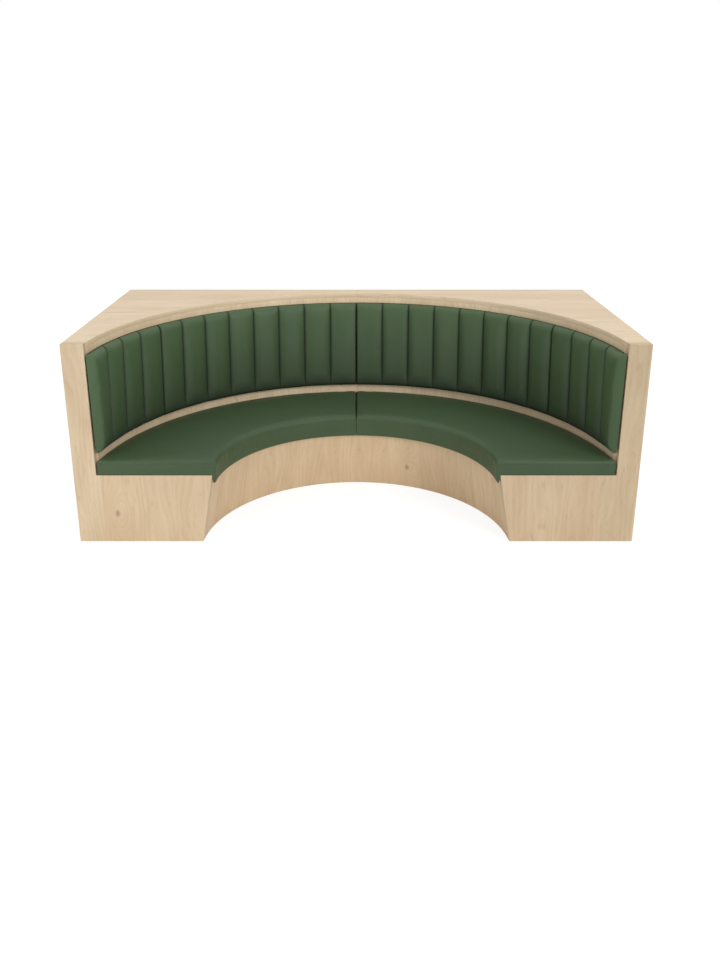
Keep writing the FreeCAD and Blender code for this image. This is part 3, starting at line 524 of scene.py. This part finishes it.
def back_columns(channels, to_arm):
    """Each column: channel, place across it from 0 to 1, share rolled over an end, which end."""
    width = CHANNEL_ANGLE * (WALL_RADIUS - BACK_THICKNESS)
    rolls = roll_steps(BACK_ROLL, BACK_POWER)
    last_rolls = roll_steps(BACK_ROLL, ARM_POWER if to_arm else BACK_POWER)
    columns = []
    for channel in range(channels):
        first, last = channel == 0, channel == channels - 1
        at_arm = to_arm and last
        end_round = BACK_ARM_ROUND if at_arm else BACK_SIDE_ROUND
        end_share = end_round / width
        low = end_share if first else 0.0
        high = 1 - end_share if last else 1.0
        if first:
            columns += [(channel, roll, -1, end_share) for roll in rolls]
        shares = eased(CHANNEL_STEPS, not at_arm)
        columns += [(channel, low + (high - low) * share, 0, 0) for share in shares[1:]]
        if last:
            columns += [(channel, roll, 1, end_share) for roll in reversed(last_rolls[:-1])]
    return columns


def back_rows():
    """Each row: share of the height between the roundings, or share rolled over, and which end."""
    rows = [(roll, -1) for roll in roll_steps(BACK_ROLL, BACK_POWER)]
    rows += [(step / BACK_ROWS, 0) for step in range(1, BACK_ROWS + 1)]
    rows += [(roll, 1) for roll in reversed(roll_steps(BACK_ROLL, BACK_POWER)[:-1])]
    return rows


def back_cushion(name, start, channels, to_arm):
    """A channelled back cushion: crests between sewn seams, rolled over at its edges."""
    columns = back_columns(channels, to_arm)
    rows = back_rows()
    piece = grid_block(name, len(columns) - 1, len(rows) - 1, 1)
    held, seams, lifts = [], [], []
    margin = CUSHION_GAP / WALL_RADIUS
    for point in piece.data.vertices:
        column, row, layer = (round(value) for value in point.co)
        channel, across, end, end_share = columns[column]
        at_arm = to_arm and channel == channels - 1
        height, height_end = rows[row]
        roll = across if end else 0.0
        rise = height if height_end else 0.0
        at_joint = end < 0 or (end > 0 and not to_arm)
        end_power = ARM_POWER if to_arm and end > 0 else BACK_POWER
        fullness = fullness_at(roll, end_power) * fullness_at(rise, BACK_POWER)
        roll, rise = squash_corner(roll, rise, SHARP_PLAN)
        to_front = 0.0
        foot_round = BACK_FOOT_ROUND
        if end:
            inset = (1 - roll) * end_share
            across = inset if end < 0 else 1 - inset
        if at_arm:
            to_front = across ** 2
            foot_round += (BACK_ARM_FOOT_ROUND - BACK_FOOT_ROUND) * across
        foot = BACK_LOW - BACK_ARM_SAG * to_front
        if height_end < 0:
            height = foot + (1 - rise) * foot_round
        elif height_end > 0:
            height = BACK_HIGH - (1 - rise) * BACK_TOP_ROUND
        else:
            above_round, below_round = foot + foot_round, BACK_HIGH - BACK_TOP_ROUND
            height = above_round + (below_round - above_round) * height
        seam = max(0.0, 1 - 2 * across)
        if not at_arm:
            seam = max(seam, 2 * across - 1)
        valley = 1 - math.sqrt(max(0.0, 1 - seam ** CHANNEL_POWER))
        lift = max(0.0, (height - BACK_LOW) / (BACK_HIGH - BACK_LOW))
        bulge = BACK_BULGE * math.sin(math.pi * lift) * (1 - to_front)
        seam_share = SEAM_FOOT_SHARE + (1 - SEAM_FOOT_SHARE) * min(1.0, lift / SEAM_FADE_SHARE)
        crest = BACK_THICKNESS - BACK_EDGE + bulge - (SEAM_DEPTH + bulge) * valley * seam_share
        depth = STANDOFF if layer else STANDOFF + BACK_EDGE + crest * fullness
        radius = WALL_RADIUS - depth
        low = start + CHANNEL_ANGLE * channel + (margin if channel == 0 else 0)
        high = start + CHANNEL_ANGLE * (channel + 1) - (margin if channel == channels - 1 else 0)
        if at_arm:
            high = math.acos((CUSHION_FRONT - wall_centre(height)) / radius)
        angle = low + (high - low) * across
        behind = wall_centre(height) + radius * math.cos(angle)
        point.co = (radius * math.sin(angle), behind, height)
        if layer or fullness == 0 or seam > SEAM_LINE or at_joint:
            held.append(point.index)
        # Painted shade at tucked edges, in the seam valleys and towards the foot, and painted
        # light on the arm's end face, all passed to the material as colour.
        tucked = 0.0 if to_arm and end > 0 else max(0.0, 1 - fullness / TUCKED_FULLNESS)
        seam_painted_shade = max(0.0, (seam - SEAM_SHADE_START) / (1 - SEAM_SHADE_START))
        foot_painted_shade = FOOT_SHADE * (1 - to_front) * max(0.0, 1 - lift / FOOT_SHADE_REACH)
        lifts.append(lift + (1 - lift) * ARM_PAINTED_LIGHT * to_front)
        seams.append(max(tucked, seam_painted_shade, foot_painted_shade))
    outward(piece)
    swell(piece, held, BACK_PRESSURE, BACK_REACH)
    mark(piece, "seam", seams)
    mark(piece, "lift", lifts)
    refine(piece)
    return piece


# Seat cushions, made for the right side.

# Steps of the grid: round an edge, along, across, down a side and down the skirt.
SEAT_ROLL = 6
SEAT_COLUMNS = 110
SEAT_ROWS = 40
SEAT_SIDES = len(SEAT_SIDE_INSETS) - 1
SKIRT_STEPS = 5
# How square its roundings and its hem are, its place on the painted light-and-shade gradient,
# and how dark the painted shade in its seam is.
SEAT_POWER = 2
HEM_POWER = 6
SEAT_PAINTED_SHADE_LIFT = 0.42
SEAT_SEAM_SHADE = 0.6


def nose_radius(level):
    return SKIRT_RADIUS - (level - SKIRT_FOOT) * SKIRT_LEAN


def seat_spot(along, from_end, across, from_side, level):
    """A place in plan: shares of the way between the roundings, or distances in from an edge.

    along 0 is the middle joint and 1 the open front; across 0 is the nose and 1 the wall.
    """
    ends = []
    for radius, centre in ((nose_radius(level), SEAT_CENTRE),
                           (WALL_RADIUS - SEAT_WALL_GAP, wall_centre(level))):
        low = math.asin(CUSHION_GAP / radius)
        high = math.acos((CUSHION_FRONT - centre) / radius)
        if from_end is None:
            low += SEAT_JOINT_ROUND / radius
            high -= SEAT_ROUND / radius
            angle = low + (high - low) * along
        else:
            angle = low + from_end / radius if along < 0.5 else high - from_end / radius
        ends.append(Vector((radius * math.sin(angle), centre + radius * math.cos(angle), level)))
    nose, wall = ends
    way = (wall - nose).normalized()
    if from_side is None:
        return (nose + way * SEAT_ROUND).lerp(wall - way * SEAT_ROUND, across)
    return nose + way * from_side if across < 0.5 else wall - way * from_side


def seat_cushion(name):
    """The crowned seat cushion, its boxed sides and the skirt hanging from its nose."""
    rolls = roll_steps(SEAT_ROLL, SEAT_POWER)
    columns = [(roll, -1) for roll in rolls]
    columns += [(step / SEAT_COLUMNS, 0) for step in range(1, SEAT_COLUMNS)]
    columns += [(roll, 1) for roll in reversed(rolls)]
    rows = [(roll, -1) for roll in rolls] + [("skirt", 0)]
    rows += [(step / SEAT_ROWS, 0) for step in range(1, SEAT_ROWS)]
    rows += [(roll, 1) for roll in reversed(rolls)]
    skirt_row = SEAT_ROLL + 1
    piece = grid_block(name, len(columns) - 1, len(rows) - 1, SEAT_SIDES)
    drop_strip(piece, skirt_row, SEAT_SIDES, SKIRT_STEPS)
    skirt_thickness = SKIRT_BACK_RADIUS - nose_radius(DECK_TOP)
    round_start = DECK_TOP + SEAT_RISE - SEAT_ROUND
    side_levels = [round_start - drop for drop in SEAT_GROOVE_DROPS]
    groove_foot = side_levels[-1]
    plain_steps = SEAT_SIDES + 1 - len(side_levels)
    side_levels += [groove_foot + (DECK_TOP - groove_foot) * step / plain_steps
                    for step in range(1, plain_steps + 1)]
    held, seams = [], []
    for point in piece.data.vertices:
        column, row, layer = (round(value) for value in point.co)
        layer = -layer
        along, end = columns[column]
        across, side = rows[row]
        roll_end = along if end else 0.0
        roll_side = across if side else 0.0
        plan_power = SOFT_PLAN if side < 0 < end else SHARP_PLAN
        fullness = fullness_at(roll_end, SEAT_POWER) * fullness_at(roll_side, SEAT_POWER)
        roll_end, roll_side = squash_corner(roll_end, roll_side, plan_power)
        end_round = SEAT_ROUND if end > 0 else SEAT_JOINT_ROUND
        from_end = (1 - roll_end) * end_round if end else None
        from_side = (1 - roll_side) * SEAT_ROUND if side else None
        if across == "skirt":
            from_side = skirt_thickness
        along_place = (0 if end < 0 else 1) if end else along
        across_place = (0 if side <= 0 else 1) if side or across == "skirt" else across
        seam = 0.0
        if layer == 0:
            level = round_start + SEAT_ROUND * fullness
        elif layer <= SEAT_SIDES:
            level = side_levels[layer]
            inset = SEAT_SIDE_INSETS[layer]
            if side > 0:
                from_side = inset + from_side * (1 - inset / SEAT_ROUND)
            if end and not (layer == SEAT_SIDES and row <= skirt_row):
                from_end = inset + from_end * (1 - inset / end_round)
            # The sewn groove's row gets a painted shade.
            seam = SEAT_SEAM_SHADE if layer == 1 and side >= 0 else 0.0
        else:
            share = (layer - SEAT_SIDES) / SKIRT_STEPS
            level = DECK_TOP + (SKIRT_FOOT - DECK_TOP) * share
            hem = SKIRT_HEM * share ** HEM_POWER
            inward = min(from_side, skirt_thickness) / skirt_thickness
            outer = nose_radius(level) + hem
            inner = SKIRT_BACK_RADIUS - hem
            from_side = outer + (inner - outer) * inward - nose_radius(level)
        spot = seat_spot(along_place, from_end, across_place, from_side, level)
        if layer == 0:
            spot.z += crown_rise(spot) * (1 if fullness else 0) - shoulder_drop(spot) * fullness
        point.co = spot
        if layer >= SEAT_SIDES or (layer == 1 and fullness == 0):
            held.append(point.index)
        seams.append(seam)
    outward(piece)
    swell(piece, held, SEAT_PRESSURE, SEAT_REACH)
    mark(piece, "seam", seams)
    # The whole seat takes one place on the painted light-and-shade gradient, a painted shade.
    mark(piece, "lift", [SEAT_PAINTED_SHADE_LIFT] * len(seams))
    refine(piece)
    return piece


def shoulder_drop(spot):
    """How far the top falls away towards the nose, over its soft shoulder."""
    from_nose = math.hypot(spot.x, spot.y - SEAT_CENTRE) - nose_radius(spot.z)
    return SEAT_SHOULDER * (1 - min(1.0, max(0.0, from_nose / SEAT_SHOULDER_RUN))) ** 2


def crown_rise(spot):
    """How far the seat's top stands above its edges at a place."""
    from_nose = math.hypot(spot.x, spot.y - SEAT_CENTRE) - nose_radius(spot.z)
    wall = WALL_RADIUS - SEAT_WALL_GAP - math.hypot(spot.x, spot.y - wall_centre(spot.z))
    nearest = min(from_nose, wall, spot.x, spot.y - CUSHION_FRONT)
    share = min(1.0, max(0.0, nearest / SEAT_CROWN_RUN))
    return SEAT_CROWN * math.sin(math.pi / 2 * share)


# The cushions ride with the bodies that lift off.
green = leatherette("green_leatherette")
backs = (("inner", 0.0, INNER_CHANNELS, False),
         ("outer", CHANNEL_ANGLE * INNER_CHANNELS, OUTER_CHANNELS, True))


def finish_cushion(piece, node, body):
    piece.data.materials.clear()
    piece.data.materials.append(green)
    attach(piece, body)
    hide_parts(node)


for word, start, channels, to_arm in backs:
    right = back_cushion("back_cushion_right_" + word, start, channels, to_arm)
    left = mirror_image(right, "back_cushion_left_" + word)
    finish_cushion(right, "back_pad_right_" + word, "back_right_" + word)
    finish_cushion(left, "back_pad_left_" + word, "back_left_" + word)

seat_right = seat_cushion("seat_cushion_right")
seat_left = mirror_image(seat_right, "seat_cushion_left")
finish_cushion(seat_right, "seat_pad_right", "seat_right")
finish_cushion(seat_left, "seat_pad_left", "seat_left")


# The carcass and the fittings keep their solids. The veneer has one knot in the left seat end,
# counted across by x + y, and one right of the plinth's middle, counted round its circle.
SEAT_END_KNOT = (-1.283 + FRONT, 0.167)
PLINTH_KNOT = (0.297, 0.137)
# The top board's and the wall panel's copies of the veneer are painted lighter than the uprights'
# and the plinth's, as painted light.
upright_oak = oak_veneer("oak_veneer_upright", "Z", knots=(SEAT_END_KNOT,))
top_oak = oak_veneer("oak_veneer_top", "X", pale="#F1DFC1", deep="#CBAD82")
wall_oak = oak_veneer("oak_veneer_wall", "Z", pale="#F6E2C0", deep="#D0B186",
                      curve=(WALL_CENTRE_TOP, WALL_RADIUS))
plinth_oak = oak_veneer("oak_veneer_plinth", "Z", pale="#E1CBA8", deep="#BC9B72",
                        curve=(SEAT_CENTRE, SKIRT_RADIUS), knots=(PLINTH_KNOT,))
plywood = plain_wood("birch_plywood", "#DCC6A0", "#CDB389", 14 * MM)
softwood = plain_wood("sawn_softwood", "#DDBE8C", "#C79F66", 9 * MM)
zinc = zinc_plate("zinc_plated_steel")
peg_nylon = nylon("natural_nylon")

FINISHES = (("end_panel", upright_oak), ("side_panel", upright_oak), ("rear_panel", upright_oak),
            ("top_board", top_oak), ("wall_panel", wall_oak), ("plinth_panel", plinth_oak),
            ("deck_board", plywood), ("frame_", plywood), ("seat_board", plywood),
            ("nosing_board", plywood), ("back_board", plywood), ("arm_post", softwood),
            ("wall_stud", softwood), ("corner_blocks", softwood), ("seat_pegs", peg_nylon),
            ("rear_screws", zinc), ("module_", zinc), ("wall_clips", zinc), ("pad_clips", zinc))
EASED = ("end_panel", "top_board")
EDGE_BREAK = 2 * MM
for name, part in nodes.items():
    for start, material in FINISHES:
        if name.startswith(start):
            part.data.materials.clear()
            part.data.materials.append(material)
    if name.startswith(EASED):
        # The veneered edges are broken by hand with fine paper, once each face is whole again.
        weld = part.modifiers.new("weld", "WELD")
        weld.merge_threshold = 0.05 * MM
        flat = part.modifiers.new("whole_faces", "DECIMATE")
        flat.decimate_type = "DISSOLVE"
        flat.angle_limit = math.radians(0.5)
        bevel = part.modifiers.new("eased_edges", "BEVEL")
        bevel.width = EDGE_BREAK
        bevel.segments = 2
        bevel.limit_method = "ANGLE"
        bevel.angle_limit = math.radians(35)


# White floor and surroundings, soft light, and the photograph's camera.

WHITE = (1, 1, 1, 1)


def white_floor():
    """A large white floor that still takes the bench's shadow.

    The camera sees white paper round the bench, which mixes shaded white with a plain glow, and
    only the glow beyond it, where bounced light finds a greyer floor.
    """
    side, below = 60, 0.4 * MM
    paper_end, paper_gone = 2.6, 4.2
    glow_strength, glow_share = 1.14, 0.72
    bpy.ops.mesh.primitive_plane_add(size=side, location=(0, 0, -below))
    floor = bpy.context.object
    floor.name = "floor"
    material = bpy.data.materials.new("white_floor")
    material.use_nodes = True
    tree = material.node_tree
    tree.nodes.clear()
    place = add(tree, "TexCoord").outputs["Object"]
    reach = add(tree, "VectorMath", {0: place}, operation="LENGTH").outputs["Value"]
    beyond = add(tree, "MapRange", {
        "Value": reach, "From Min": paper_end, "From Max": paper_gone})
    paper = add(tree, "Mix", {0: beyond, 6: colour("#F4F4F4"), 7: colour("#8C8C8C")},
                data_type="RGBA")
    matt = add(tree, "BsdfDiffuse", {"Color": paper.outputs[MIXED]})
    glow = add(tree, "Emission", {"Color": WHITE, "Strength": glow_strength})
    plain = add(tree, "MapRange", {"Value": beyond, "To Min": glow_share})
    seen = add(tree, "LightPath").outputs["Is Camera Ray"]
    share = add(tree, "Math", {0: seen, 1: plain}, operation="MULTIPLY")
    add(tree, "OutputMaterial", {
        "Surface": add(tree, "MixShader", {0: share, 1: matt, 2: glow})})
    floor.data.materials.append(material)


def white_world():
    """Soft light from above and from the white backdrop; the camera sees plain white."""
    from_above, from_behind, all_round = 0.80, 0.45, 0.17
    world = bpy.data.worlds.new("white_surroundings")
    bpy.context.scene.world = world
    world.use_nodes = True
    tree = world.node_tree
    tree.nodes.clear()
    way = add(tree, "SeparateXYZ", {0: add(tree, "TexCoord").outputs["Generated"]})
    light = all_round
    for axis, strength in (("Z", from_above), ("Y", from_behind)):
        facing = add(tree, "Math", {0: way.outputs[axis], 1: 0.0}, operation="MAXIMUM")
        light = add(tree, "Math", {0: facing, 1: strength, 2: light}, operation="MULTIPLY_ADD")
    seen = add(tree, "Math", {0: light, 1: add(tree, "LightPath").outputs["Is Camera Ray"]},
               operation="MAXIMUM")
    sky = add(tree, "Background", {"Color": WHITE, "Strength": seen})
    add(tree, "OutputWorld", {"Surface": sky})


def soft_light(name, place, aim, size, power):
    data = bpy.data.lights.new(name, "AREA")
    data.shape = "SQUARE"
    data.size = size
    data.energy = power
    lamp = bpy.data.objects.new(name, data)
    bpy.context.scene.collection.objects.link(lamp)
    lamp.location = place
    lamp.rotation_euler = (Vector(aim) - Vector(place)).to_track_quat("-Z", "Y").to_euler()


def photograph_camera():
    """The camera that the box's corners in the photograph give, in its pixels."""
    picture_height = 960
    focal_pixels = 872.5
    axis_pixels = (356.3, 401.6)
    picture_middle = (360, 480)
    from_front, eye_level = 4.2746, 2.2034
    tilt_down = math.radians(18.17)
    data = bpy.data.cameras.new("camera")
    data.sensor_width = 36
    data.lens = focal_pixels / picture_height * data.sensor_width
    data.shift_x = (picture_middle[0] - axis_pixels[0]) / picture_height
    data.shift_y = (axis_pixels[1] - picture_middle[1]) / picture_height
    data.clip_end = 200
    camera = bpy.data.objects.new("camera", data)
    bpy.context.scene.collection.objects.link(camera)
    camera.location = (0, FRONT - from_front, eye_level)
    camera.rotation_euler = (math.pi / 2 - tilt_down, 0, 0)
    bpy.context.scene.camera = camera


white_floor()
white_world()
soft_light("key", place=(9.0, -11.8, 7.9), aim=(0, -0.2, 0.5), size=6.0, power=950)
soft_light("side", place=(-3.2, -3.4, 1.4), aim=(-1.2, -0.7, 0.6), size=1.6, power=36)
photograph_camera()
bpy.context.scene.view_settings.view_transform = "Standard"
